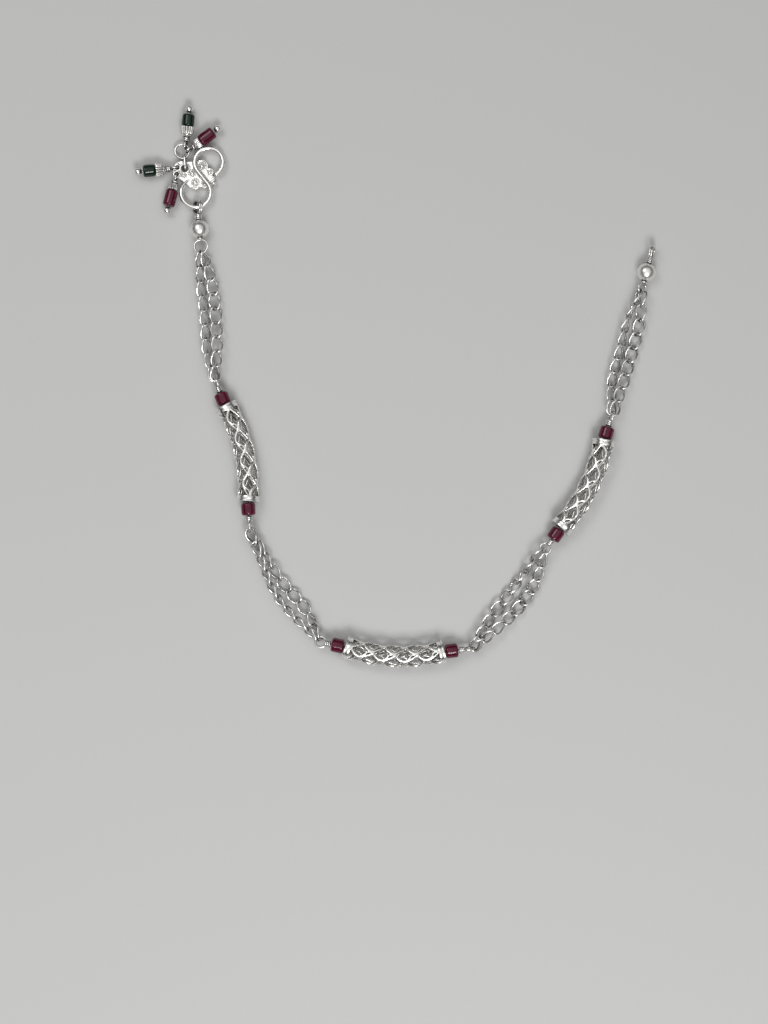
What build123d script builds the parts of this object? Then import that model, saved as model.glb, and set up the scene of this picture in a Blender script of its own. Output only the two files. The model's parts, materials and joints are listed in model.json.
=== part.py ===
from build123d import *
import math
import os

# A silver payal anklet, open and laid flat in a U: hook with drops, chains, pierced tubes, beads and end loop.
# Millimetres and degrees, +Z up. Z = 0 is the surface it lies on; the whole is centred in X and Y at the end.
# The anklet is followed from the hook to the end loop. A heading is a plan angle, anticlockwise from +X.

# ---- wires and clearances ----
PIN_WIRE = 0.5            # the wire of eyes, coils and bead cores
RING_WIRE = 0.55          # the wire of the drop ring and the oval link
LINK_WIRE = 0.5           # the wire of chain links
COIL_PITCH = 0.42         # from one turn of a coil to the next
COIL_RADIUS = 0.62        # centre line of the coiled wire
DOUBLE_SPREAD = 0.44      # between the two turns of a double-wound ring

# ---- curb chain ----
LINKS_PER_STRAND = 9
LINK_HALF_LENGTH = 2.05   # centre line, from the middle to a tip
LINK_HALF_WIDTH = 1.33    # centre line, at the middle
LINK_TIP_TWIST = 45       # how far each tip is turned about the link's length
LINK_SIDE_SLOPE = 28      # slope of the two sides at the middle
LINK_OVERLAP = 1.7        # from a tip back to the junction with the next link
STRAND_SPACING = 0.36     # half the distance between the two strands inside an eye
TIP_IN_EYE = 0.645        # from the eye's wire to the tip that hangs in it, centre to centre
LINK_REST = 0.305         # from the surface to the wire's centre where a link lies
EASE = 0.25               # share of a strand over which it comes down from its eye to the surface

# ---- pierced tubes ----
TUBE_HEIGHT = 2.75        # height of the axis
TUBE_RADIUS = 2.6
TUBE_WALL = 0.5
TUBE_BEND = 40.0          # bend radius of the tube's axis
TUBE_CHORD = 23.0         # straight distance from end to end
LIP_RADIUS = 1.2          # hole in the turned-in end
LIP_THICKNESS = 0.5
FLANGE_RADIUS = 2.75      # small flange round each end
FLANGE_LENGTH = 0.4
LEAF_COLUMNS = 8          # leaf-shaped gaps round the tube, every other column half a leaf further on
LEAF_ROWS = 4
LEAF_PERIOD = 5.2         # from one leaf of a column to the next
LEAF_CUTTER_START = 1.5   # the cutters reach from inside the wall to well outside it
LEAF_CUTTER_DEPTH = 1.7
LEAF_PHASE = 78           # where the first column lies, seen along the tube from the outside of its bend

# ---- beads and balls ----
BEAD_RADIUS = 1.65
BEAD_LENGTH = 2.9
BEAD_ROUNDING = 0.55
BEAD_BORE = 0.75
BEAD_START = 0.35         # from the tube's end to its glass bead
BEAD_COIL_START = 3.5     # from the tube's end to the coils behind the bead
TUBE_EYE_REACH = 5.8      # from the tube's end to the eye's centre
BALL_RADIUS = 2.2
BALL_BORE = 0.8
PIN_BEND = 70.0           # bend radius of the wire inside a tube
EYE_RADIUS = 1.25         # centre line of an eye

# ---- hook ----
HOOK_WIRE = 1.1
HOOK_HEIGHT = 1.52        # height of the wire's centre: the ball's ring passes under it
HOOK_UPPER = (-44.1, 53.2)
HOOK_UPPER_RADIUS = 3.35
HOOK_LOWER = (-47.1, 46.0)
HOOK_LOWER_RADIUS = 3.5
HOOK_UPPER_END = -62      # where the open end of the upper turn stops, seen from its centre
HOOK_LOWER_END = 112      # where the lower turn runs on to the plate
PLATE_HEIGHT = 1.2        # height of the plate's middle: the drops' eyes pass under it
PLATE_THICKNESS = 0.5
PLATE_DISCS = [           # x, y, radius: the scallops and lobes of the leaf plate
    (-50.35, 51.35, 2.2),
    (-51.6, 50.35, 0.95),
    (-48.1, 50.6, 1.5),
    (-47.4, 48.4, 1.65),
    (-45.2, 48.3, 1.25),
    (-45.8, 52.3, 1.55),
    (-43.9, 50.9, 1.0),
    (-43.5, 49.3, 0.85),
]
PLATE_BODY = [(-50.3, 53.3), (-46.6, 53.6), (-43.0, 49.7), (-43.4, 48.6), (-45.2, 47.4), (-48.3, 47.2), (-51.3, 49.5)]
PLATE_HOLES = [           # x, y, radius: the main eyelet and two side eyelets
    (-49.75, 51.75, 0.85),
    (-51.5, 52.0, 0.48),
    (-51.65, 50.4, 0.48),
]
TIP_BALL = (-42.95, 48.3, 0.55)

# ---- drops ----
# Distances along a drop run from its eye's centre.
DROP_EYE_RADIUS = 0.8
DROP_COIL_START = 0.95
DROP_CAP_NECK = 0.8
DROP_CAP_WALL = 0.35
DROP_CAP_BORE = 0.4
DROP_CAP_FLUTES = 14
DROP_CAP_GROOVE = 0.16    # radius of the grooves between the flutes
DROP_CAP_GROOVE_OUT = 0.06
DROP_GLASS_GAP = 0.1
DROP_GLASS_RADIUS = 1.45
DROP_BALL_GAP = 0.25
DROP_BALL_RADIUS = 0.9
DROP_MAKES = {            # the green drops have wide caps, the magenta ones short caps and long glass
    "green": {"turns": 2, "cap_start": 1.97, "cap_end": 4.35, "mouth": 1.7, "glass": 2.9},
    "magenta": {"turns": 1, "cap_start": 1.55, "cap_end": 3.15, "mouth": 1.3, "glass": 3.9},
}
DROPS = [                 # node, make, x, y and height of the eye, heading, roll of the eye, rise towards the ball
    ("drop_1", "green", -52.3, 51.9, 1.2, 187.4, 90, 6.8),
    ("drop_2", "magenta", -51.9, 49.7, 1.2, -103.5, 90, 5.2),
    ("drop_3", "green", -49.6, 57.3, 1.35, 84.0, 80, 5.0),
    ("drop_4", "magenta", -48.75, 56.2, 1.35, 36.5, 80, 3.4),
]
DROP_RING = (-50.4, 55.9, 1.3)
DROP_RING_RADIUS = 1.67
DROP_LINK_START = (-50.1, 54.95, 1.3)
DROP_LINK_END = (-49.8, 51.6, 1.3)
DROP_LINK_RADIUS = 0.85
DROP_LINK_ROLL = 75

UP = Vector(0, 0, 1)


# ---- placing ----
def turned(direction, angle):
    """The up direction of something that runs along direction, rolled about it by angle."""
    side = UP.cross(direction).normalized()
    upright = direction.cross(side)
    return upright * math.cos(math.radians(angle)) - side * math.sin(math.radians(angle))


def along(start, end, roll=0):
    """Placement of something made along +X from the origin, so that it runs from start towards end."""
    direction = (Vector(*end) - Vector(*start)).normalized()
    return Location(Plane(origin=start, x_dir=direction, z_dir=turned(direction, roll)))


def polar(point, angle, distance):
    """The plan point that lies at this angle and distance from point."""
    turn = math.radians(angle)
    return (point[0] + distance * math.cos(turn), point[1] + distance * math.sin(turn))


def raised(point, height):
    return (point[0], point[1], height)


def flat_heading(place, heading, roll=0):
    """Placement at a point, level, along a heading."""
    return along(place, raised(polar(place, heading, 1), place[2]), roll)


# ---- solids of revolution along +X ----
def spun(profile):
    """A solid turned about the X axis from a profile drawn in XY above it."""
    return revolve(profile, Axis.X, 360)


def bar(start, end, radius):
    """A round bar along X."""
    return Pos(start, 0, 0) * extrude(Plane.YZ * Circle(radius), end - start)


def coils(start, turns):
    """Turns of wire wound round the core, the first of them starting at this X."""
    first = start + PIN_WIRE / 2
    last = first + (turns - 1) * COIL_PITCH
    length = last - first + PIN_WIRE / 2
    profile = Pos((first + last) / 2, COIL_RADIUS / 2) * Rectangle(length, COIL_RADIUS)
    for turn in range(turns):
        profile += Pos(first + turn * COIL_PITCH, COIL_RADIUS) * Circle(PIN_WIRE / 2)
    return spun(profile)


def ring(radius, wire=PIN_WIRE):
    return Torus(radius, wire / 2)


def double_ring(radius):
    """Two turns of wire lying on each other and soldered."""
    return Pos(0, 0, -DOUBLE_SPREAD / 2) * ring(radius) + Pos(0, 0, DOUBLE_SPREAD / 2) * ring(radius)


def drum(start, length, radius, rounding, bore):
    """A drilled bead with rounded edges, from this X on."""
    body = bar(start, start + length, radius)
    body = fillet(body.edges().filter_by(GeomType.CIRCLE), rounding)
    return body - bar(start - 1, start + length + 1, bore / 2)


# ---- curb links ----
def biarc_joint(start, start_way, end, end_way):
    """Where two tangent arcs meet that lead from start to end with these directions."""
    span = end - start
    spread = 2 * (1 - start_way.dot(end_way))
    reach = span.dot(start_way + end_way)
    step = (math.sqrt(reach * reach + spread * span.dot(span)) - reach) / spread
    return (start + end) * 0.5 + (start_way - end_way) * (step / 2)


def half_link_path():
    """Half of a link's centre line, round one tip: four arcs, twisted one way towards the tip."""
    slope = math.radians(LINK_SIDE_SLOPE)
    twist = math.radians(LINK_TIP_TWIST)
    side = Vector(0, LINK_HALF_WIDTH, 0)
    side_way = Vector(math.cos(slope), 0, math.sin(slope))
    tip = Vector(LINK_HALF_LENGTH, 0, 0)
    tip_way = Vector(0, -math.cos(twist), -math.sin(twist))
    joint = biarc_joint(side, side_way, tip, tip_way)
    chord = (joint - side).normalized()
    joint_way = chord * (2 * chord.dot(side_way)) - side_way
    quarter = [TangentArc(side, joint, tangent=side_way), TangentArc(joint, tip, tangent=joint_way)]
    return Wire(quarter + [Rot(180, 0, 0) * edge for edge in quarter])


def swept_half(path, wire):
    """Round wire along half a link, joined to the same half turned by 180 degrees."""
    half = sweep(Plane(origin=path @ 0, z_dir=path % 0) * Circle(wire / 2), path=path)
    return half + Rot(0, 0, 180) * half


def curb_link():
    """One twisted link, lying along X with its middle at the origin."""
    return swept_half(half_link_path(), LINK_WIRE)


# ---- chain strands ----
# The five values of a column are at a strand's start, quarter, middle, three quarters and end: offset is how far
# it lies to the left of the straight way, roll is how far its links are turned from lying flat, and lift is how
# far they are raised by what lies under them.
STRANDS = [
    # node,           chain, place in the eye, offset,                        roll,                       lift
    ("chain_1_outer", 1, -1, (-0.02, -0.8, -0.76, -1.14, -0.1), (-48, -51, -52, -50, -47), (0, 0.27, 0, 0.19, 0.03)),
    ("chain_1_inner", 1, 1, (0.04, 1.33, 1.43, 1.14, -0.12), (-49, -24, -4, -27, -47), (0.46, 1.07, 0.62, 1.54, 1.23)),
    ("chain_2_outer", 2, -1, (-0.36, -1.64, -2.93, -1.98, -0.07), (33, 63, 68, 64, 67), (2.28, 1.38, 0.3, 1.08, 1.07)),
    ("chain_2_inner", 2, 1, (-0.21, -0.4, -0.44, 0.82, 0.02), (32, 64, 8, -16, -104), (0.02, 0.02, 0.4, 0.44, 0)),
    ("chain_3_outer", 3, -1, (-0.36, -1.99, -3.11, -2.69, -0.16), (48, 38, 1, 19, 47), (2.24, 1.61, 0, 0.36, 0.02)),
    ("chain_3_inner", 3, 1, (-0.38, 0.41, 0.15, 0.25, 0.14), (47, 39, -33, -73, -128), (0.81, 0.59, 0.12, 0, 0)),
    ("chain_4_outer", 4, -1, (-0.28, -0.82, -1.15, -1.28, -0.17), (35, 14, -2, -15, -61), (0.96, 0.81, 0.04, 0.08, 0)),
    ("chain_4_inner", 4, 1, (0.09, 1.67, 1.38, 1.39, 0.1), (44, 45, 49, 64, 101), (0, 0, 0, 0.19, 0.33)),
]


def between(values, share):
    """A smooth value at this share (0 to 1) of the way through evenly spaced values."""
    place = share * (len(values) - 1)
    index = min(int(place), len(values) - 2)
    rest = place - index
    before = values[max(index - 1, 0)]
    start, end = values[index], values[index + 1]
    after = values[min(index + 2, len(values) - 1)]
    start_slope = (end - before) / 2
    end_slope = (after - start) / 2
    square, cube = rest * rest, rest * rest * rest
    return (
        start * (2 * cube - 3 * square + 1)
        + start_slope * (cube - 2 * square + rest)
        + end * (3 * square - 2 * cube)
        + end_slope * (cube - square)
    )


def eased(share):
    """0 to 1, level at both ends."""
    share = min(share / EASE, 1)
    return share * share * (3 - 2 * share)


def resting_height(path, roll):
    """Height of a link's axis when it is rolled by this angle and lies on the surface."""
    sine = math.sin(math.radians(roll))
    cosine = math.cos(math.radians(roll))
    lowest = 0
    for step in range(49):
        point = path @ (step / 48)
        lowest = max(lowest, abs(point.Y * sine) - point.Z * cosine)
    return lowest + LINK_REST


def strand(link, start_eye, end_eye, place, offset, roll, lift):
    """The links of one strand, hung from one eye and leading to the next."""
    path = half_link_path()
    start, end = start_eye["centre"], end_eye["centre"]
    straight = Vector(end[0] - start[0], end[1] - start[1], 0).normalized()
    left = UP.cross(straight)

    def seat(eye, way):
        heading = math.radians(eye["heading"])
        normal = turned(Vector(math.cos(heading), math.sin(heading), 0), eye["roll"])
        pulled = (straight - normal * straight.dot(normal)).normalized()
        in_eye = math.sqrt((eye["radius"] - TIP_IN_EYE) ** 2 - STRAND_SPACING**2)
        tip = Vector(*eye["centre"]) + pulled * (way * in_eye) + normal.cross(pulled) * (place * STRAND_SPACING)
        return tip + straight * (way * (LINK_HALF_LENGTH - LINK_OVERLAP))

    first, last = seat(start_eye, 1), seat(end_eye, -1)
    junctions = []
    for count in range(LINKS_PER_STRAND + 1):
        share = count / LINKS_PER_STRAND
        point = first + (last - first) * share + left * between(offset, share)
        down, up = eased(share), eased(1 - share)
        height = resting_height(path, between(roll, share)) + between(lift, share)
        level = first.Z * (1 - down) + last.Z * (1 - up) + height * (down + up - 1)
        junctions.append((point.X, point.Y, level))
    links = []
    for count in range(LINKS_PER_STRAND):
        here, there = junctions[count], junctions[count + 1]
        middle = (Vector(*here) + Vector(*there)) * 0.5
        ahead = Vector(*there) - Vector(*here) + middle
        links.append(along(middle, ahead, between(roll, count / (LINKS_PER_STRAND - 1))) * link)
    return Compound(children=links)


# ---- pierced tubes ----
# Each tube runs from one rim to the other along its heading; bulge is 1 where it bends out to the left. Tubes 2 and
# 3 are the first one turned over, and the third is also the mirror image, as its leaves lean the other way.
TUBES = [
    # node,    middle of the chord, heading, bulge, roll of the first and the last eye
    ("tube_1", (-37.2, -15.75), -76.7, 1, 73, -95),
    ("tube_2", (-0.35, -61.35), -2.6, -1, 3, -78),
    ("tube_3", (43.4, -22.9), 63.4, -1, -1, -75),
]
LEAF = [                  # distance along the leaf from its point as a share of the period, half width
    (0.17, 0),
    (0.34, 0.78),
    (0.56, 1.24),
    (0.75, 0.94),
    (0.85, 0),
]


def on_tube(angle):
    """Placement on the tube's bent axis, X along it and Y to the outside of the bend."""
    turn = math.radians(angle)
    sunk = TUBE_BEND * math.cos(math.asin(TUBE_CHORD / 2 / TUBE_BEND))
    middle = (TUBE_BEND * math.sin(turn), TUBE_BEND * math.cos(turn) - sunk, 0)
    return Location(Plane(origin=middle, x_dir=(math.cos(turn), -math.sin(turn), 0), z_dir=(0, 0, 1)))


def leaf_cutter():
    """One leaf-shaped gap, its point towards -X, to be cut outwards through the wall."""
    tip, flank, widest, foot, end = [((share - 0.5) * LEAF_PERIOD, half) for share, half in LEAF]

    def across(point):
        return (point[0], -point[1])

    outline = Wire([
        ThreePointArc(tip, flank, widest),
        ThreePointArc(widest, foot, end),
        ThreePointArc(end, across(foot), across(widest)),
        ThreePointArc(across(widest), across(flank), tip),
    ])
    return extrude(make_face(outline), LEAF_CUTTER_DEPTH)


def pierced_tube():
    """The bent tube with its leaf-shaped gaps, chord along X, bent out towards +Y."""
    half_turn = math.degrees(math.asin(TUBE_CHORD / 2 / TUBE_BEND))
    section = Circle(TUBE_RADIUS) - Circle(TUBE_RADIUS - TUBE_WALL)
    wall = revolve(Plane.XZ * Pos(TUBE_BEND, 0) * section, Axis.Z, 2 * half_turn)
    sunk = TUBE_BEND * math.cos(math.radians(half_turn))
    wall = Pos(0, -sunk, 0) * Rot(0, 0, 90 - half_turn) * wall
    cutter = Pos(0, 0, LEAF_CUTTER_START) * leaf_cutter()
    cutters = []
    for column in range(LEAF_COLUMNS):
        odd = column % 2
        roll = LEAF_PHASE + column * 360 / LEAF_COLUMNS - 90
        for row in range(LEAF_ROWS - odd):
            place = (row + 0.5 + odd / 2 - LEAF_ROWS / 2) * LEAF_PERIOD
            spot = on_tube(math.degrees(place / TUBE_BEND))
            cutters.append(spot * Rot(roll, 0, 0) * cutter)
    wall = wall - cutters
    for side in (-1, 1):
        rim = on_tube(side * half_turn) * Rot(0, 0, 90 - side * 90)
        lip = bar(-LIP_THICKNESS, 0, TUBE_RADIUS - 0.1) - bar(-1, 1, LIP_RADIUS)
        flange = bar(-FLANGE_LENGTH, 0, FLANGE_RADIUS) - bar(-1, 1, TUBE_RADIUS - TUBE_WALL)
        wall = wall + rim * lip + rim * flange
    return wall


def tube_placement(middle, heading, bulge):
    return flat_heading(raised(middle, TUBE_HEIGHT), heading) * Rot(90 - bulge * 90, 0, 0)


def tube_ends(middle, heading, bulge):
    """Both rims of a tube with the headings in which its wire leaves them."""
    half_turn = math.degrees(math.asin(TUBE_CHORD / 2 / PIN_BEND)) * bulge
    first = raised(polar(middle, heading + 180, TUBE_CHORD / 2), TUBE_HEIGHT)
    last = raised(polar(middle, heading, TUBE_CHORD / 2), TUBE_HEIGHT)
    return [(first, heading + half_turn + 180), (last, heading - half_turn)]


def tube_eyes(middle, heading, bulge, first_roll, last_roll):
    """Where the two eyes of a tube's wire are and how they lie, seen in the anklet's own direction."""
    eyes = []
    for (rim, leaving), roll, way in zip(tube_ends(middle, heading, bulge), (first_roll, last_roll), (180, 0)):
        centre = raised(polar(rim, leaving, TUBE_EYE_REACH), TUBE_HEIGHT)
        eyes.append({"centre": centre, "heading": leaving + way, "roll": roll, "radius": EYE_RADIUS})
    return eyes


def tube_wire(middle, heading, bulge, eyes):
    """The wire through a tube and its two beads, with coils and an eye at each end."""
    ends = tube_ends(middle, heading, bulge)
    rise = bulge * (PIN_BEND - math.sqrt(PIN_BEND**2 - TUBE_CHORD**2 / 4))
    crest = raised(polar(middle, heading + 90, rise), TUBE_HEIGHT)
    stops = []
    for rim, leaving in ends:
        stops.append(raised(polar(rim, leaving, TUBE_EYE_REACH - EYE_RADIUS), TUBE_HEIGHT))
    first, last = ends[0][0], ends[1][0]
    path = Wire([Line(stops[0], first), ThreePointArc(first, crest, last), Line(last, stops[1])])
    wire = sweep(Plane(origin=path @ 0, z_dir=path % 0) * Circle(PIN_WIRE / 2), path=path)
    for (rim, leaving), eye in zip(ends, eyes):
        wire = wire + flat_heading(rim, leaving) * coils(BEAD_COIL_START, 3) + eye_ring(eye)
    return wire


def eye_placement(eye):
    return flat_heading(eye["centre"], eye["heading"], eye["roll"])


def eye_ring(eye):
    return eye_placement(eye) * ring(eye["radius"])


# ---- balls ----
BALLS = [
    # node,       start,                   heading, rise to the ball, ball at, end at
    ("hook_ball", (-46.695, 42.398, 1.7), -84.3, 0.639, 5.32, 9.512),
    ("end_ball", (57.75, 23.3, 2.2), 74.4, 0.0, 3.8, 8.65),
]
HOOK_BALL_COILS = [(1.75, 3), (7.53, 1)]    # where the coils beside the ball start, and their turns
END_BALL_COILS = [(1.09, 1), (6.01, 3)]
HOOK_RING_RADIUS = 1.55
HOOK_RING_ROLL = 55
HOOK_BALL_EYE_RADIUS = 1.55
HOOK_BALL_EYE_ROLL = 3
END_EYE_ROLL = 45
END_LOOP_RADIUS = 1.6
END_LOOP_ROLL = 75


def ball_line(start, heading, rise, ball_at, end_at):
    """The middle of the ball and the end of its wire."""
    slope = math.asin(rise / ball_at)

    def reached(distance):
        return raised(polar(start, heading, distance * math.cos(slope)), start[2] + distance * math.sin(slope))

    return reached(ball_at), reached(end_at)


def ball_stem(start, end, coiled):
    """The straight wire through a ball with the coils on both sides of it."""
    stem = bar(start, end, PIN_WIRE / 2)
    for coil_start, turns in coiled:
        stem += coils(coil_start, turns)
    return stem


def drilled_ball():
    return Sphere(BALL_RADIUS) - bar(-3, 3, BALL_BORE / 2)


# ---- hook ----
def hook():
    """The S-shaped hook with its leaf plate, eyelets and tip ball."""
    span = math.dist(HOOK_UPPER, HOOK_LOWER)
    down = heading_between(HOOK_UPPER, HOOK_LOWER)
    lean = math.degrees(math.acos((HOOK_UPPER_RADIUS + HOOK_LOWER_RADIUS) / span))
    leaves = down - lean + 360
    arrives = down + 180 - lean
    upper_mid = (HOOK_UPPER_END + leaves) / 2
    lower_mid = (arrives + HOOK_LOWER_END - 360) / 2

    def upper(angle):
        return raised(polar(HOOK_UPPER, angle, HOOK_UPPER_RADIUS), HOOK_HEIGHT)

    def lower(angle):
        return raised(polar(HOOK_LOWER, angle, HOOK_LOWER_RADIUS), HOOK_HEIGHT)

    path = Wire([
        ThreePointArc(upper(HOOK_UPPER_END), upper(upper_mid), upper(leaves)),
        Line(upper(leaves), lower(arrives)),
        ThreePointArc(lower(arrives), lower(lower_mid), lower(HOOK_LOWER_END)),
    ])
    wire = sweep(Plane(origin=path @ 0, z_dir=path % 0) * Circle(HOOK_WIRE / 2), path=path)
    outline = make_face(Polyline(*PLATE_BODY, close=True))
    for x, y, radius in PLATE_DISCS:
        outline += Pos(x, y) * Circle(radius)
    for x, y, radius in PLATE_HOLES:
        outline -= Pos(x, y) * Circle(radius)
    plate = Pos(0, 0, PLATE_HEIGHT - PLATE_THICKNESS / 2) * extrude(outline, PLATE_THICKNESS)
    x, y, radius = TIP_BALL
    tip_ball = Pos(x, y, PLATE_HEIGHT) * Sphere(radius)
    wire_end = Pos(*upper(HOOK_UPPER_END)) * Sphere(HOOK_WIRE / 2)
    return wire + plate + wire_end + tip_ball


def heading_between(start, end):
    return math.degrees(math.atan2(end[1] - start[1], end[0] - start[0]))


# ---- drops ----
def glass_ends(make):
    """Where the glass of a drop starts and ends."""
    start = DROP_MAKES[make]["cap_end"] + DROP_GLASS_GAP
    return start, start + DROP_MAKES[make]["glass"]


def drop_pin(make, roll):
    """The eye, coils, core and end ball of a drop, along X from the eye's centre."""
    ball_at = glass_ends(make)[1] + DROP_BALL_GAP + DROP_BALL_RADIUS
    core = bar(DROP_EYE_RADIUS, ball_at, PIN_WIRE / 2) + coils(DROP_COIL_START, DROP_MAKES[make]["turns"])
    ball = Pos(ball_at, 0, 0) * Sphere(DROP_BALL_RADIUS)
    return core + ball + Rot(roll, 0, 0) * ring(DROP_EYE_RADIUS)


def drop_cap(make):
    """A fluted bell, open towards the glass."""
    start, end = DROP_MAKES[make]["cap_start"], DROP_MAKES[make]["cap_end"]
    mouth = DROP_MAKES[make]["mouth"]
    crown = (start + 0.5, DROP_CAP_NECK + 0.35)
    outline = Polyline(
        (start, DROP_CAP_BORE),
        (start, DROP_CAP_NECK),
        crown,
        (end, mouth),
        (end, mouth - DROP_CAP_WALL),
        (start + 0.6, DROP_CAP_NECK),
        (start + 0.4, DROP_CAP_BORE),
        close=True,
    )
    groove = along(raised(crown, 0.0), (end, mouth, 0.0)) * bar(-0.2, 3, DROP_CAP_GROOVE)
    groove = Pos(0, DROP_CAP_GROOVE_OUT, 0) * groove
    cutters = [Rot(flute * 360 / DROP_CAP_FLUTES, 0, 0) * groove for flute in range(DROP_CAP_FLUTES)]
    return spun(make_face(outline)) - cutters


def drop_glass(make):
    start, end = glass_ends(make)
    return drum(start, end - start, DROP_GLASS_RADIUS, BEAD_ROUNDING, BEAD_BORE)


def oval_link():
    """A long link along X with its middle at the origin."""
    half = math.dist(DROP_LINK_START, DROP_LINK_END) / 2 - DROP_LINK_RADIUS
    radius = DROP_LINK_RADIUS
    path = Wire([
        Line((0, radius, 0), (half, radius, 0)),
        ThreePointArc((half, radius, 0), (half + radius, 0, 0), (half, -radius, 0)),
        Line((half, -radius, 0), (0, -radius, 0)),
    ])
    return swept_half(path, RING_WIRE)


# ---- the anklet ----
def anklet():
    """Every piece by its node name, where it lies."""
    pieces = {}
    hook_name, *hook_line = BALLS[0]
    end_name, *end_line = BALLS[1]
    hook_ball, hook_eye_centre = ball_line(*hook_line)
    end_ball, end_loop_centre = ball_line(*end_line)
    eyes = [
        {
            "centre": hook_eye_centre,
            "heading": hook_line[1],
            "roll": HOOK_BALL_EYE_ROLL,
            "radius": HOOK_BALL_EYE_RADIUS,
        }
    ]

    pieces["s_hook"] = hook()
    for node, line, centre in ((hook_name, hook_line, hook_ball), (end_name, end_line, end_ball)):
        pieces[node] = along(line[0], centre) * Pos(line[3], 0, 0) * drilled_ball()
    stem = ball_stem(HOOK_RING_RADIUS, hook_line[4] - HOOK_BALL_EYE_RADIUS, HOOK_BALL_COILS)
    pieces["hook_ball_wire"] = (
        along(hook_line[0], hook_ball) * stem
        + flat_heading(hook_line[0], hook_line[1], HOOK_RING_ROLL) * double_ring(HOOK_RING_RADIUS)
        + eye_ring(eyes[0])
    )

    template = pierced_tube()
    for node, middle, heading, bulge, first_roll, last_roll in TUBES:
        tube = template if node != "tube_3" else mirror(Rot(0, 0, 180) * Rot(180, 0, 0) * template, about=Plane.XY)
        pieces[node] = tube_placement(middle, heading, bulge) * tube
        both = tube_eyes(middle, heading, bulge, first_roll, last_roll)
        pieces[node + "_wire"] = tube_wire(middle, heading, bulge, both)
        bead = drum(BEAD_START, BEAD_LENGTH, BEAD_RADIUS, BEAD_ROUNDING, BEAD_BORE)
        for (rim, leaving), number in zip(tube_ends(middle, heading, bulge), ("_bead_1", "_bead_2")):
            pieces[node + number] = flat_heading(rim, leaving) * bead
        eyes += both

    end_eye = {"centre": end_line[0], "heading": end_line[1], "roll": END_EYE_ROLL, "radius": EYE_RADIUS}
    eyes.append(end_eye)
    stem = ball_stem(EYE_RADIUS, end_line[4] - END_LOOP_RADIUS, END_BALL_COILS)
    pieces["end_ball_wire"] = (
        along(end_line[0], end_ball) * stem
        + flat_heading(end_loop_centre, end_line[1], END_LOOP_ROLL) * double_ring(END_LOOP_RADIUS)
        + eye_ring(end_eye)
    )

    link = curb_link()
    for node, chain, place, offset, roll, lift in STRANDS:
        pieces[node] = strand(link, eyes[2 * chain - 2], eyes[2 * chain - 1], place, offset, roll, lift)

    for node, make, x, y, height, heading, roll, rise in DROPS:
        slope = math.radians(rise)
        ahead = polar((x, y), heading, math.cos(slope))
        place = along((x, y, height), raised(ahead, height + math.sin(slope)))
        pieces[node + "_pin"] = place * drop_pin(make, roll)
        pieces[node + "_cap"] = place * drop_cap(make)
        pieces[node + "_glass"] = place * drop_glass(make)
    pieces["drop_ring"] = Pos(*DROP_RING) * ring(DROP_RING_RADIUS, RING_WIRE)
    middle = (Vector(*DROP_LINK_START) + Vector(*DROP_LINK_END)) * 0.5
    pieces["drop_link"] = along(middle, Vector(*DROP_LINK_END), DROP_LINK_ROLL) * oval_link()
    return pieces


def main():
    pieces = anklet()
    boxes = [piece.bounding_box() for piece in pieces.values()]
    middle_x = (min(box.min.X for box in boxes) + max(box.max.X for box in boxes)) / 2
    middle_y = (min(box.min.Y for box in boxes) + max(box.max.Y for box in boxes)) / 2
    os.makedirs("parts", exist_ok=True)
    for node, piece in pieces.items():
        export_step(Pos(-middle_x, -middle_y, 0) * piece, "parts/" + node + ".step")


if __name__ == "__main__":
    main()
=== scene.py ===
import json
import math

import bpy
from mathutils import Matrix, Vector

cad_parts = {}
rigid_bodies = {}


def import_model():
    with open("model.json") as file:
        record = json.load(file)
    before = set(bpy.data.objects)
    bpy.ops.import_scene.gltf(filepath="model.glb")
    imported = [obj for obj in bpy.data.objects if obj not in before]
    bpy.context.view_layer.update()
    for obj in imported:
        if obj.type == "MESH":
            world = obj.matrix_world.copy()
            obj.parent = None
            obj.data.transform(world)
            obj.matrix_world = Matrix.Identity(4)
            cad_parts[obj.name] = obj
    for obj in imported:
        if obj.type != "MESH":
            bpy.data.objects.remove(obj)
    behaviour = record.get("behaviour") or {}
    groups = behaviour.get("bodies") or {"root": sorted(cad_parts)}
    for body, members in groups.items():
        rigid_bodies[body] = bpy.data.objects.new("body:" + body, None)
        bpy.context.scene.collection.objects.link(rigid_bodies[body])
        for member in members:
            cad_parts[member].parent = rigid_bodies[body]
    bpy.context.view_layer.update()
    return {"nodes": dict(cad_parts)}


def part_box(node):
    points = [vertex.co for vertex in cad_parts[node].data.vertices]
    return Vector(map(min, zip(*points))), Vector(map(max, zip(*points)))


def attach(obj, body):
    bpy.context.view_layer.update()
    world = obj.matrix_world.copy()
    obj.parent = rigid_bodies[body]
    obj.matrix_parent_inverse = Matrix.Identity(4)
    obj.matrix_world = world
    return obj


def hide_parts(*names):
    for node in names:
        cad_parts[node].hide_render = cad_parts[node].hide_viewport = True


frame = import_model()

bl_info = {
    "name": "Payal anklet",
    "version": (1, 0, 0),
    "blender": (4, 5, 0),
    "location": "View3D > Sidebar > Payal",
    "description": "Dresses the silver payal: pierced tubes, hook, caps, glass, silver and a studio",
    "category": "Object",
}

# Lengths in the tables and settings are millimetres. A piece is modelled in millimetres and made metres when
# it is put in its place. +Z is up and the payal lies on Z = 0, centred in X and Y.
MM = 0.001

# The tables below are drawn in one plan, in which the drop ring has this middle. Where the frame's ring lies
# tells how far the plan is moved, so that the whole payal is centred.
DROP_RING_DRAWN = (-50.4, 55.9)
RING_LOW, RING_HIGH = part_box("drop_ring")
CENTRE = (
    DROP_RING_DRAWN[0] - (RING_LOW.x + RING_HIGH.x) / 2 / MM,
    DROP_RING_DRAWN[1] - (RING_LOW.y + RING_HIGH.y) / 2 / MM,
)


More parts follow.
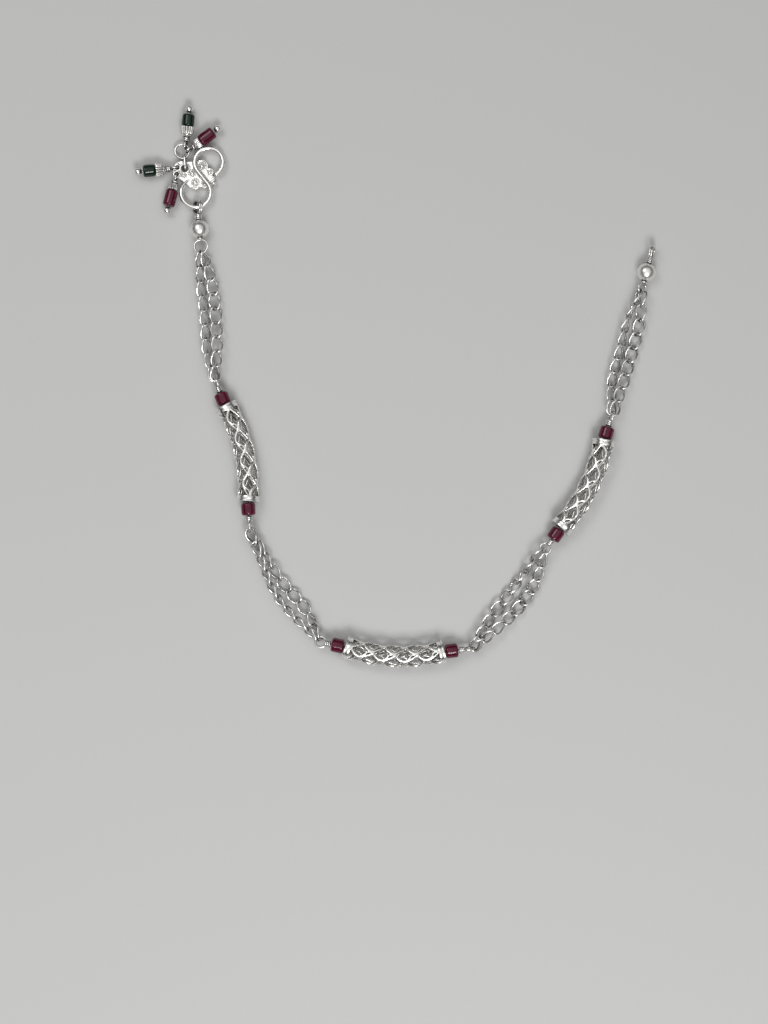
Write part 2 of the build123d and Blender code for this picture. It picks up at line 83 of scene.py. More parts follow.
# ---- settings ----
class PayalTubeSettings(bpy.types.PropertyGroup):
    axis_height: bpy.props.FloatProperty(
        name="Axis height", description="Height of the tube's axis above the ground (mm)",
        default=2.75, min=0.1)
    bend: bpy.props.FloatProperty(
        name="Bend radius", description="Radius of the tube's bent axis (mm)", default=40.0, min=1.0)
    chord: bpy.props.FloatProperty(
        name="Length", description="Straight distance from end to end (mm)", default=23.0, min=1.0)
    columns: bpy.props.IntProperty(
        name="Columns", description="Leaf columns round the tube", default=8, min=4, max=20)
    rows: bpy.props.IntProperty(
        name="Leaves", description="Leaves in a full column", default=4, min=1, max=12)
    period: bpy.props.FloatProperty(
        name="Leaf length", description="From one leaf of a column to the next (mm)", default=5.2, min=0.5)
    phase: bpy.props.FloatProperty(
        name="First column", description="Where the first column lies round the tube",
        default=math.radians(78), subtype="ANGLE")
    voxel: bpy.props.FloatProperty(
        name="Casting grain", description="Cell size of the mesh that joins the straps (mm)",
        default=0.1, min=0.04)


class PayalHookSettings(bpy.types.PropertyGroup):
    wire: bpy.props.FloatProperty(
        name="Wire", description="Diameter of the S-shaped wire (mm)", default=1.1, min=0.2)
    height: bpy.props.FloatProperty(
        name="Wire height", description="Height of the wire's centre (mm)", default=1.52, min=0.1)
    plate_height: bpy.props.FloatProperty(
        name="Plate height", description="Height of the leaf plate's middle (mm)", default=1.2, min=0.1)
    plate: bpy.props.FloatProperty(
        name="Plate thickness", description="Thickness of the leaf plate (mm)", default=0.5, min=0.1)
    voxel: bpy.props.FloatProperty(
        name="Solder grain", description="Cell size of the mesh that joins wire and plate (mm)",
        default=0.07, min=0.04)
    rim: bpy.props.FloatProperty(
        name="Rim wire", description="Diameter of the wire round the scallops and eyelets (mm)",
        default=0.36, min=0.1)
    granule: bpy.props.FloatProperty(
        name="Granule", description="Diameter of the granules on the plate (mm)", default=0.38, min=0.1)


class PayalDropSettings(bpy.types.PropertyGroup):
    flutes: bpy.props.IntProperty(
        name="Flutes", description="Grooves round a cap", default=14, min=6, max=32)
    groove: bpy.props.FloatProperty(
        name="Groove", description="Depth of a groove as a share of the radius",
        default=0.19, min=0.0, max=0.5, subtype="FACTOR")


class PayalFinishSettings(bpy.types.PropertyGroup):
    silver: bpy.props.FloatVectorProperty(
        name="Silver", description="Colour of the polished silver",
        default=(0.93, 0.92, 0.89), min=0, max=1, size=3, subtype="COLOR")
    # Not a colour of the silver itself: shade painted dark into recesses and where parts touch.
    recess_shade: bpy.props.FloatVectorProperty(
        name="Tarnish", description="Colour of the silver in recesses",
        default=(0.035, 0.033, 0.03), min=0, max=1, size=3, subtype="COLOR")
    magenta: bpy.props.FloatVectorProperty(
        name="Magenta glass", description="Colour of the magenta beads",
        default=(0.15, 0.001, 0.032), min=0, max=1, size=3, subtype="COLOR")
    green: bpy.props.FloatVectorProperty(
        name="Green glass", description="Colour of the dark green beads",
        default=(0.001, 0.026, 0.010), min=0, max=1, size=3, subtype="COLOR")


class PayalStageSettings(bpy.types.PropertyGroup):
    floor: bpy.props.FloatVectorProperty(
        name="Floor", description="Colour of the ground",
        default=(0.60, 0.60, 0.59), min=0, max=1, size=3, subtype="COLOR")
    aim: bpy.props.FloatVectorProperty(
        name="Aim", description="Where in the plan the camera looks (mm)",
        default=(-2.82, -29.25, 0.0), size=3, subtype="XYZ")
    distance: bpy.props.FloatProperty(
        name="Distance", description="From the aim to the camera (mm)", default=480.0, min=10.0)
    elevation: bpy.props.FloatProperty(
        name="Elevation", description="Height of the camera above the horizon", default=math.radians(87),
        subtype="ANGLE")
    view_height: bpy.props.FloatProperty(
        name="View height", description="Height of the field of view",
        default=math.radians(28.07), subtype="ANGLE")
    key: bpy.props.FloatProperty(
        name="Key light", description="Strength of the large light in front",
        default=2.2, min=0, unit="POWER")
    fill: bpy.props.FloatProperty(
        name="Fill light", description="Strength of the light from the far side",
        default=0.8, min=0, unit="POWER")


# ---- working by hand in object and edit mode ----
def deselect_all():
    if bpy.context.mode != "OBJECT":
        bpy.ops.object.mode_set(mode="OBJECT")
    bpy.ops.object.select_all(action="DESELECT")


def pick(*pieces):
    """Selects these objects only and makes the first one active."""
    deselect_all()
    for piece in pieces:
        piece.select_set(True)
    bpy.context.view_layer.objects.active = pieces[0]


def join(pieces, name):
    pick(*pieces)
    if len(pieces) > 1:
        bpy.ops.object.join()
    joined = bpy.context.object
    joined.name = name
    joined.data.name = name
    return joined


def copy_of(piece, name):
    """A copy with its own mesh."""
    pick(piece)
    bpy.ops.object.duplicate(linked=False)
    copied = bpy.context.object
    copied.name = name
    copied.data.name = name
    return copied


def place(piece, matrix):
    """Puts a piece modelled in millimetres in its place, in metres, with its object at the origin."""
    piece.matrix_world = Matrix.Scale(MM, 4) @ matrix
    pick(piece)
    bpy.ops.object.transform_apply(location=True, rotation=True, scale=True)
    if matrix.determinant() < 0:
        bpy.ops.object.mode_set(mode="EDIT")
        bpy.ops.mesh.select_all(action="SELECT")
        bpy.ops.mesh.normals_make_consistent(inside=False)
        bpy.ops.object.mode_set(mode="OBJECT")


def finish_with(piece, kind, **values):
    """Adds a modifier with these values and applies it."""
    pick(piece)
    modifier = piece.modifiers.new(kind.title(), kind)
    for key, value in values.items():
        setattr(modifier, key, value)
    bpy.ops.object.modifier_apply(modifier=modifier.name)


def keep_outer_skin(piece):
    """Deletes the small bubbles that joining can leave shut inside the skin."""
    outermost = min(piece.data.vertices, key=lambda vertex: vertex.co.x).index
    pick(piece)
    bpy.ops.object.mode_set(mode="EDIT")
    bpy.ops.mesh.select_mode(type="VERT")
    bpy.ops.mesh.select_all(action="DESELECT")
    bpy.ops.object.mode_set(mode="OBJECT")
    piece.data.vertices[outermost].select = True
    bpy.ops.object.mode_set(mode="EDIT")
    bpy.ops.mesh.select_linked()
    bpy.ops.mesh.select_all(action="INVERT")
    bpy.ops.mesh.delete(type="VERT")
    bpy.ops.object.mode_set(mode="OBJECT")


def remesh(piece, voxel, smoothing):
    """Joins everything that overlaps into one closed skin, as a casting or solder does."""
    finish_with(piece, "REMESH", mode="VOXEL", voxel_size=voxel, use_smooth_shade=True)
    keep_outer_skin(piece)
    finish_with(piece, "SMOOTH", factor=0.5, iterations=smoothing)
    pick(piece)
    bpy.ops.object.shade_smooth()


def wires(name, runs, round_steps=3, kind="NURBS", along_steps=4):
    """Round wires of changing thickness. A run is a list of (point, radius)."""
    deselect_all()
    bpy.ops.curve.primitive_nurbs_path_add(enter_editmode=False)
    piece = bpy.context.object
    curve = piece.data
    curve.splines.clear()
    curve.dimensions = "3D"
    curve.bevel_depth = 1.0
    curve.bevel_resolution = round_steps
    curve.use_fill_caps = True
    for run in runs:
        spline = curve.splines.new(kind)
        spline.points.add(len(run) - 1)
        for knot, (point, radius) in zip(spline.points, run):
            knot.co = (*point, 1.0)
            knot.radius = radius
        if kind == "NURBS":
            spline.order_u = 3
            spline.use_endpoint_u = True
            spline.resolution_u = along_steps
    pick(piece)
    bpy.ops.object.convert(target="MESH")
    piece.name = name
    return piece


def lathe(name, outline, steps):
    """A closed outline of (x, radius) turned about the X axis."""
    deselect_all()
    bpy.ops.curve.primitive_nurbs_path_add(enter_editmode=False)
    piece = bpy.context.object
    curve = piece.data
    curve.splines.clear()
    spline = curve.splines.new("POLY")
    spline.points.add(len(outline) - 1)
    for knot, (x, radius) in zip(spline.points, outline):
        knot.co = (x, radius, 0, 1)
    spline.use_cyclic_u = True
    pick(piece)
    bpy.ops.object.convert(target="MESH")
    bpy.ops.object.mode_set(mode="EDIT")
    bpy.ops.mesh.select_all(action="SELECT")
    bpy.ops.mesh.spin(steps=steps, angle=2 * math.pi, center=(0, 0, 0), axis=(1, 0, 0))
    bpy.ops.mesh.select_all(action="SELECT")
    bpy.ops.mesh.remove_doubles(threshold=0.001)
    bpy.ops.mesh.normals_make_consistent(inside=False)
    bpy.ops.object.mode_set(mode="OBJECT")
    piece.name = name
    return piece


# ---- places ----
def heading_matrix(x, y, height, heading, rise=0.0, roll=0.0):
    """Placement of something made along +X, in millimetres in the frame of the whole payal."""
    return (
        Matrix.Translation((x - CENTRE[0], y - CENTRE[1], height))
        @ Matrix.Rotation(math.radians(heading), 4, "Z")
        @ Matrix.Rotation(-math.radians(rise), 4, "Y")
        @ Matrix.Rotation(math.radians(roll), 4, "X")
    )


# ---- pierced tubes ----
TUBES = [
    # node, middle x, y, heading, turned over, mirrored
    ("tube_1", -37.2, -15.75, -76.7, False, False),
    ("tube_2", -0.35, -61.35, -2.6, True, False),
    ("tube_3", 43.4, -22.9, 63.4, True, True),
]
# One leaf of the casting. Its point is at share 0 and the next leaf's is at share 1; across is counted in
# column spacings; wire is half the strap's thickness and out is its centre's distance from the tube's axis.
STRAP = [
    # share, across, wire, out
    (-0.10, 0.00, 0.24, 2.34),
    (0.00, -0.02, 0.33, 2.30),
    (0.08, -0.26, 0.38, 2.26),
    (0.20, -0.60, 0.39, 2.24),
    (0.33, -0.82, 0.39, 2.24),
    (0.46, -0.88, 0.37, 2.24),
    (0.58, -0.76, 0.31, 2.28),
    (0.67, -0.48, 0.25, 2.34),
    (0.74, -0.16, 0.22, 2.38),
    (0.84, 0.00, 0.22, 2.36),
    (0.94, 0.01, 0.24, 2.34),
]
# A thin wire that crosses from one leaf's point to the next column, and the bud inside a leaf.
STAY = [
    # share, across, wire, out
    (-0.05, 0.00, 0.22, 2.38),
    (0.04, 0.09, 0.22, 2.40),
    (0.28, 0.44, 0.20, 2.42),
    (0.48, 0.78, 0.20, 2.42),
    (0.60, 0.99, 0.24, 2.36),
]
BUD = [
    # share, across, wire, out
    (0.62, -0.56, 0.14, 2.12),
    (0.50, -0.46, 0.20, 2.04),
    (0.38, -0.30, 0.19, 2.04),
    (0.27, -0.16, 0.12, 2.10),
]
BAND = [
    # x from the rim inwards, radius
    (0.00, 1.20), (0.00, 2.70), (0.05, 2.745), (0.33, 2.745), (0.38, 2.68), (0.42, 2.56), (0.60, 2.58),
    (0.70, 2.63), (1.20, 2.63), (1.30, 2.58), (1.34, 2.45), (1.34, 2.12), (0.50, 2.12), (0.50, 1.20),
]
STRAP_STOP = 0.9          # how far inside the tube's ends the straps stop, under the bands
STRAP_OVERRUN = 0.8       # points less than this share of a leaf past a stop are held at it, others left out
BAND_STEPS = 96           # sides of a band
TUBE_CREASE = 40          # degrees; a tube's edges that turn more than this stay crisp


def on_tube(settings, length, turn, out):
    """A point of the bent tube: along its axis, turned from the outside of the bend, and out from it."""
    angle = length / settings.bend
    sunk = math.sqrt(settings.bend ** 2 - settings.chord ** 2 / 4)
    outward = Vector((math.sin(angle), math.cos(angle), 0))
    return outward * (settings.bend + out * math.cos(turn)) + Vector((0, -sunk, out * math.sin(turn)))


def leaf_runs(settings, column):
    """The straps of one column of leaves."""
    half_length = settings.bend * math.asin(settings.chord / 2 / settings.bend) - STRAP_STOP
    spacing = 2 * math.pi / settings.columns
    middle = settings.phase + column * spacing
    odd = column % 2
    runs = []
    for row in range(-odd, settings.rows):
        point = (row + odd / 2 - settings.rows / 2) * settings.period
        for table in (STRAP, STAY, BUD):
            run = []
            for share, across, wire, out in table:
                length = point + share * settings.period
                held = max(-half_length, min(half_length, length))
                if abs(length - held) < STRAP_OVERRUN * settings.period:
                    run.append((on_tube(settings, held, middle - across * spacing, out), wire))
            if len(run) > 2:
                runs.append(run)
    return runs


def band(settings, side):
    """The band, flange and turned-in lip at one end."""
    ring = lathe("band", BAND, BAND_STEPS)
    half_turn = side * math.asin(settings.chord / 2 / settings.bend)
    at = on_tube(settings, half_turn * settings.bend, 0, 0)
    ring.matrix_world = (
        Matrix.Translation(at)
        @ Matrix.Rotation(-half_turn, 4, "Z")
        @ Matrix.Rotation(math.pi * (1 + side) / 2, 4, "Z")
    )
    pick(ring)
    bpy.ops.object.transform_apply(location=True, rotation=True, scale=True)
    return ring


class PAYAL_OT_tubes(bpy.types.Operator):
    """Casts the pierced tube of leaf-shaped gaps and puts it in its three places"""
    bl_idname = "payal.tubes"
    bl_label = "Pierced tubes"

    def execute(self, context):
        settings = context.scene.payal_tubes
        runs = []
        for column in range(settings.columns):
            runs += leaf_runs(settings, column)
        straps = wires("straps", runs)
        remesh(straps, settings.voxel, 3)
        casting = join([straps, band(settings, -1), band(settings, 1)], "casting")
        for node, x, y, heading, over, mirrored in TUBES:
            tube = copy_of(casting, node + "_casting")
            matrix = heading_matrix(x, y, settings.axis_height, heading, roll=180 if over else 0)
            if mirrored:
                matrix = (
                    matrix
                    @ Matrix.Scale(-1, 4, (0, 0, 1))
                    @ Matrix.Rotation(math.pi, 4, "Z")
                    @ Matrix.Rotation(math.pi, 4, "X")
                )
            place(tube, matrix)
            pick(tube)
            bpy.ops.object.shade_smooth_by_angle(angle=math.radians(TUBE_CREASE))
            dress(tube, cast_silver())
            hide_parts(node)
        bpy.data.objects.remove(casting)
        return {"FINISHED"}


# ---- hook ----
UPPER_TURN = {"centre": (-44.1, 53.2), "radius": 3.35, "end": -62}
LOWER_TURN = {"centre": (-47.1, 46.0), "radius": 3.5, "end": 112}
LOBES = [
    # x, y, radius: the scallops of the leaf plate
    (-50.35, 51.35, 2.2),
    (-51.6, 50.35, 0.95),
    (-48.1, 50.6, 1.5),
    (-47.4, 48.4, 1.65),
    (-45.2, 48.3, 1.25),
    (-45.8, 52.3, 1.55),
    (-43.9, 50.9, 1.0),
    (-43.5, 49.3, 0.85),
]
LEAF_BODY = [
    # x, y: the corners of the plate between its scallops
    (-50.3, 53.3), (-46.6, 53.6), (-43.0, 49.7), (-43.4, 48.6), (-45.2, 47.4), (-48.3, 47.2), (-51.3, 49.5),
]
TURN_STEPS = 36           # steps in each turn of the S
TAPER_STEPS = 7           # over how many steps of the lower turn the wire thins out on the plate
TAPER_END = 0.35          # what is left of its radius at its end
EYELETS = [
    # x, y, radius of the hole
    (-49.75, 51.75, 0.85),
    (-51.5, 52.0, 0.48),
    (-51.65, 50.4, 0.48),
]
TIP_BALL = (-42.95, 48.3, 0.55)   # x, y, radius
TIP_GRANULES = 4
TIP_GRANULES_FROM = 110   # where round the ball the first one sits, in degrees
TIP_GRANULES_STEP = 40    # and how far on each next one is
# The bosses of the plate. Each is a dome with granules round its foot.
BOSSES = [
    # x, y, radius, granules round it
    (-48.05, 50.65, 0.55, 9),
    (-47.35, 48.45, 0.62, 10),
    (-45.75, 52.35, 0.55, 9),
    (-45.15, 48.35, 0.42, 8),
    (-43.95, 50.85, 0.32, 7),
    (-50.0, 50.2, 0.34, 7),
]
BOSS_SUNK = 0.45          # how deep a dome's middle lies in the plate, as a share of its radius
GRANULE_REACH = 0.7       # how far from the tip ball a granule's middle lies, as a share of its radius
RIM_STEPS = 96            # steps round a whole scallop
RIM_LEAST = 4             # a stretch of rim with fewer points than this isn't made
EYELET_STEPS = 32         # steps round an eyelet's rim


def on_circle(x, y, reach, turn, height):
    """The point at this turn round a level circle."""
    return Vector((x + reach * math.cos(turn), y + reach * math.sin(turn), height))


def turn_point(turn, angle, height):
    x, y = turn["centre"]
    return on_circle(x, y, turn["radius"], math.radians(angle), height)


def hook_line(settings):
    """Centre line of the S: round the upper turn, down the middle and round the lower turn."""
    across = Vector(LOWER_TURN["centre"]) - Vector(UPPER_TURN["centre"])
    down = math.degrees(math.atan2(across.y, across.x))
    lean = math.degrees(math.acos((UPPER_TURN["radius"] + LOWER_TURN["radius"]) / across.length))
    leaves = down - lean + 360
    arrives = down + 180 - lean
    stretches = [
        (UPPER_TURN, UPPER_TURN["end"], leaves),
        (LOWER_TURN, arrives, LOWER_TURN["end"] - 360),
    ]
    line = []
    for turn, first, last in stretches:
        for step in range(TURN_STEPS + 1):
            line.append(turn_point(turn, first + (last - first) * step / TURN_STEPS, settings.height))
    return line


def disc(x, y, radius, low, high, sides=40):
    deselect_all()
    bpy.ops.mesh.primitive_cylinder_add(
        vertices=sides, radius=radius, depth=high - low, location=(x, y, (low + high) / 2))
    piece = bpy.context.object
    bpy.ops.object.transform_apply(location=True, rotation=True, scale=True)
    return piece


def in_leaf(x, y):
    """Whether a plan point is inside the body of the leaf plate."""
    inside = False
    for (x1, y1), (x2, y2) in zip(LEAF_BODY, LEAF_BODY[1:] + LEAF_BODY[:1]):
        if (y1 > y) != (y2 > y) and x < x1 + (x2 - x1) * (y - y1) / (y2 - y1):
            inside = not inside
    return inside


def rim_runs(settings):
    """Rim wire along the scallops that form the plate's edge, and round each eyelet."""
    high = settings.plate_height + settings.plate / 2
    wire = settings.rim / 2
    stretches = []
    for x, y, radius in LOBES:
        others = [lobe for lobe in LOBES if lobe != (x, y, radius)]
        stretches.append([])
        for step in range(RIM_STEPS + 1):
            at = on_circle(x, y, radius - wire, 2 * math.pi * step / RIM_STEPS, high)
            covered = in_leaf(at.x, at.y) or any(
                math.hypot(at.x - ox, at.y - oy) < other - wire for ox, oy, other in others)
            if covered:
                stretches.append([])
            else:
                stretches[-1].append((at, wire))
    runs = [stretch for stretch in stretches if len(stretch) >= RIM_LEAST]
    for x, y, radius in EYELETS:
        run = []
        for step in range(EYELET_STEPS + 1):
            run.append((on_circle(x, y, radius + wire, 2 * math.pi * step / EYELET_STEPS, high), wire))
        runs.append(run)
    return runs


def round_grain(radius, at):
    """A small ball of silver."""
    deselect_all()
    bpy.ops.mesh.primitive_uv_sphere_add(segments=12, ring_count=8, radius=radius, location=at)
    grain = bpy.context.object
    bpy.ops.object.transform_apply(location=True, rotation=True, scale=True)
    return grain


def granulation(settings):
    """Domes with rings of granules on the plate, and a short row of granules behind the tip ball."""
    high = settings.plate_height + settings.plate / 2
    size = settings.granule / 2
    grains = []
    for x, y, radius, count in BOSSES:
        grains.append(round_grain(radius, (x, y, high - radius * BOSS_SUNK)))
        for number in range(count):
            at = on_circle(x, y, radius + size, 2 * math.pi * number / count, high)
            grains.append(round_grain(size, at))
    tip_x, tip_y, tip_radius = TIP_BALL
    for number in range(TIP_GRANULES):
        turn = math.radians(TIP_GRANULES_FROM + TIP_GRANULES_STEP * number)
        at = on_circle(tip_x, tip_y, tip_radius + size * GRANULE_REACH, turn, high)
        grains.append(round_grain(size, at))
    return join(grains, "granules")


def leaf_plate(settings):
    """The scalloped plate with its eyelets cut through."""
    low = settings.plate_height - settings.plate / 2
    high = settings.plate_height + settings.plate / 2
    deselect_all()
    bpy.ops.mesh.primitive_circle_add(vertices=len(LEAF_BODY), fill_type="NGON")
    body = bpy.context.object
    for vertex, (x, y) in zip(body.data.vertices, LEAF_BODY):
        vertex.co = (x, y, low)
    bpy.ops.object.mode_set(mode="EDIT")
    bpy.ops.mesh.select_all(action="SELECT")
    bpy.ops.mesh.extrude_region_move(TRANSFORM_OT_translate={"value": (0, 0, high - low)})
    bpy.ops.mesh.select_all(action="SELECT")
    bpy.ops.mesh.normals_make_consistent(inside=False)
    bpy.ops.object.mode_set(mode="OBJECT")
    lobes = [disc(x, y, radius, low, high) for x, y, radius in LOBES]
    plate = join([body] + lobes, "leaf_plate")
    remesh(plate, settings.voxel, 1)
    for x, y, radius in EYELETS:
        hole = disc(x, y, radius, low - 1, high + 1)
        finish_with(plate, "BOOLEAN", operation="DIFFERENCE", object=hole, solver="EXACT")
        bpy.data.objects.remove(hole)
    return plate


class PAYAL_OT_hook(bpy.types.Operator):
    """Bends the S-shaped wire and solders it to the rimmed and granulated leaf plate"""
    bl_idname = "payal.hook"
    bl_label = "S hook"

    def execute(self, context):
        settings = context.scene.payal_hook
        line = hook_line(settings)
        radius = settings.wire / 2
        run = []
        for index, point in enumerate(line):
            left = min(1, (len(line) - 1 - index) / TAPER_STEPS)
            sunk = (settings.height - settings.plate_height) * (1 - left)
            run.append((point - Vector((0, 0, sunk)), radius * (TAPER_END + (1 - TAPER_END) * left)))
        wire = wires("hook_wire", [run], round_steps=8, kind="POLY")
        rims = wires("rims", rim_runs(settings), kind="POLY")
        deselect_all()
        x, y, ball_radius = TIP_BALL
        bpy.ops.mesh.primitive_uv_sphere_add(
            segments=32, ring_count=16, radius=ball_radius, location=(x, y, settings.plate_height))
        ball = bpy.context.object
        bpy.ops.object.transform_apply(location=True, rotation=True, scale=True)
        hook = join([wire, leaf_plate(settings), ball, rims, granulation(settings)], "s_hook_soldered")
        remesh(hook, settings.voxel, 2)
        place(hook, Matrix.Translation((-CENTRE[0], -CENTRE[1], 0)))
        dress(hook, granulated_silver())
        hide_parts("s_hook")
        return {"FINISHED"}


# ---- drops ----
DROPS = [
    # number, make, x, y and height of the eye, heading, rise
    (1, "green", -52.3, 51.9, 1.2, 187.4, 6.8),
    (2, "magenta", -51.9, 49.7, 1.2, -103.5, 5.2),
    (3, "green", -49.6, 57.3, 1.35, 84.0, 5.0),
    (4, "magenta", -48.75, 56.2, 1.35, 36.5, 3.4),
]
# The outline of each make's bell: x from the eye's centre and radius, down the outside and back up inside.
BELLS = {
    "green": [
        (1.97, 0.42), (1.97, 0.80), (2.03, 0.88), (2.36, 1.24), (2.48, 1.27), (2.54, 1.20), (2.60, 1.20),
        (2.66, 1.34), (2.90, 1.44), (3.30, 1.54), (3.70, 1.61), (4.10, 1.67), (4.28, 1.69), (4.35, 1.64),
        (4.35, 1.28), (3.60, 1.20), (2.80, 1.02), (2.50, 0.80), (2.37, 0.42),
    ],
    "magenta": [
        (1.55, 0.42), (1.55, 0.80), (1.60, 0.86), (1.84, 1.02), (1.92, 1.04), (1.97, 0.99), (2.02, 0.99),
        (2.08, 1.09), (2.30, 1.15), (2.60, 1.21), (2.90, 1.26), (3.09, 1.29), (3.15, 1.25),
        (3.15, 0.96), (2.60, 0.91), (2.25, 0.84), (2.10, 0.70), (1.95, 0.42),
    ],
}
WAIST = 7                 # the point of an outline at which the flutes start
LIP = -6                  # the point at which they end
GROOVED_DEPTH = 0.14      # how far under the outside a point is still taken to be on it
STEPS_IN_FLUTE = 8        # sides of the cap in one flute
CAP_CREASE = 50           # degrees; a cap's edges that turn more than this stay crisp


def fluted_cap(settings, make):
    """One bell with grooves from its waist to its rim."""
    outline = BELLS[make]
    start, mouth = outline[WAIST], outline[LIP]
    cap = lathe("cap", outline, settings.flutes * STEPS_IN_FLUTE)
    for vertex in cap.data.vertices:
        x, y, z = vertex.co
        out = math.hypot(y, z)
        along = (x - start[0]) / (mouth[0] - start[0])
        middle_of_wall = start[1] - GROOVED_DEPTH + (mouth[1] - start[1]) * along
        if along > -0.01 and out > middle_of_wall:
            wave = (1 + math.cos(math.atan2(z, y) * settings.flutes)) / 2
            share = 1 - settings.groove * wave ** 2
            vertex.co = (x, y * share, z * share)
    return cap


class PAYAL_OT_caps(bpy.types.Operator):
    """Turns a fluted cap of each make and sets one over each drop's glass"""
    bl_idname = "payal.caps"
    bl_label = "Drop caps"

    def execute(self, context):
        settings = context.scene.payal_drops
        caps = {make: fluted_cap(settings, make) for make in BELLS}
        for number, make, x, y, height, heading, rise in DROPS:
            piece = copy_of(caps[make], "drop_%d_bell" % number)
            place(piece, heading_matrix(x, y, height, heading, rise))
            pick(piece)
            bpy.ops.object.shade_smooth_by_angle(angle=math.radians(CAP_CREASE))
            dress(piece, granulated_silver())
            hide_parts("drop_%d_cap" % number)
        for cap in caps.values():
            bpy.data.objects.remove(cap)
        return {"FINISHED"}


# ---- finishes ----
BLOTCH_SCALE = 350        # how fine the blotches that make the painted shade uneven are
BLOTCH_SHARE = 0.5        # how far it moves the edge between clean and dark
DARKEST = 0.12            # openness at which the silver is all painted shade
GRAIN_ROUGHNESS = 0.25    # what the grain adds to the roughness at most
RECESS_ROUGHNESS = 0.25  # what the painted shade's mask adds to it at most
WAVE_SCALE = 700          # how fine the waves in the glass are
GLASS_DEPTH = 0.55        # the glass's darker patches, as a share of its colour
GLASS_ROUGHNESS = (0.03, 0.12)


def socket(tree, name, way, kind, value=None):
    made = tree.interface.new_socket(name, in_out=way, socket_type=kind)
    if value is not None:
        made.default_value = value
    return made


def painted_shade_group():
    """Colour, roughness and height of worked silver: its own colour in the open, with shade painted dark
    where ambient occlusion finds it sheltered, in recesses and at contacts.
    """
    if "Worked silver" in bpy.data.node_groups:
        return bpy.data.node_groups["Worked silver"]
    tree = bpy.data.node_groups.new("Worked silver", "ShaderNodeTree")
    socket(tree, "Clean", "INPUT", "NodeSocketColor")
    socket(tree, "Tarnish", "INPUT", "NodeSocketColor")
    socket(tree, "Shelter", "INPUT", "NodeSocketFloat", 0.5)
    socket(tree, "Reach", "INPUT", "NodeSocketFloat", 1.0 * MM)
    socket(tree, "Grain", "INPUT", "NodeSocketFloat", 2000.0)
    socket(tree, "Roughness", "INPUT", "NodeSocketFloat", 0.2)
    socket(tree, "Color", "OUTPUT", "NodeSocketColor")
    socket(tree, "Roughness", "OUTPUT", "NodeSocketFloat")
    socket(tree, "Height", "OUTPUT", "NodeSocketFloat")
    nodes, links = tree.nodes, tree.links
    given = nodes.new("NodeGroupInput")
    put_out = nodes.new("NodeGroupOutput")
    place_of = nodes.new("ShaderNodeTexCoord")

    # Ambient occlusion picks where shade is painted: recesses and contacts turn to the dark colour.
    shelter = nodes.new("ShaderNodeAmbientOcclusion")
    shelter.samples = 8
    links.new(given.outputs["Reach"], shelter.inputs["Distance"])
    blotches = nodes.new("ShaderNodeTexNoise")
    blotches.inputs["Scale"].default_value = BLOTCH_SCALE
    blotches.inputs["Detail"].default_value = 4
    links.new(place_of.outputs["Object"], blotches.inputs["Vector"])

    uneven = nodes.new("ShaderNodeMath")
    uneven.operation = "MULTIPLY_ADD"
    uneven.inputs[1].default_value = BLOTCH_SHARE
    links.new(blotches.outputs["Fac"], uneven.inputs[0])
    links.new(shelter.outputs["AO"], uneven.inputs[2])
    shift = nodes.new("ShaderNodeMath")
    shift.operation = "SUBTRACT"
    shift.inputs[1].default_value = BLOTCH_SHARE / 2
    links.new(uneven.outputs[0], shift.inputs[0])
    open_share = nodes.new("ShaderNodeMapRange")
    open_share.inputs["From Min"].default_value = DARKEST
    links.new(shift.outputs[0], open_share.inputs["Value"])
    links.new(given.outputs["Shelter"], open_share.inputs["From Max"])

    colour = nodes.new("ShaderNodeMix")
    colour.data_type = "RGBA"
    links.new(open_share.outputs["Result"], colour.inputs["Factor"])
    links.new(given.outputs["Tarnish"], colour.inputs["A"])
    links.new(given.outputs["Clean"], colour.inputs["B"])
    links.new(colour.outputs["Result"], put_out.inputs["Color"])

    grain = nodes.new("ShaderNodeTexNoise")
    grain.inputs["Detail"].default_value = 3
    links.new(place_of.outputs["Object"], grain.inputs["Vector"])
    links.new(given.outputs["Grain"], grain.inputs["Scale"])
    links.new(grain.outputs["Fac"], put_out.inputs["Height"])
    rough = nodes.new("ShaderNodeMath")
    rough.operation = "MULTIPLY_ADD"
    rough.inputs[1].default_value = GRAIN_ROUGHNESS
    links.new(grain.outputs["Fac"], rough.inputs[0])
    links.new(given.outputs["Roughness"], rough.inputs[2])
    dulled = nodes.new("ShaderNodeMapRange")
    dulled.inputs["To Min"].default_value = RECESS_ROUGHNESS
    dulled.inputs["To Max"].default_value = 0.0
    links.new(open_share.outputs["Result"], dulled.inputs["Value"])
    total = nodes.new("ShaderNodeMath")
    total.operation = "ADD"
    total.use_clamp = True
    links.new(rough.outputs[0], total.inputs[0])
    links.new(dulled.outputs["Result"], total.inputs[1])
    links.new(total.outputs[0], put_out.inputs["Roughness"])
    return tree


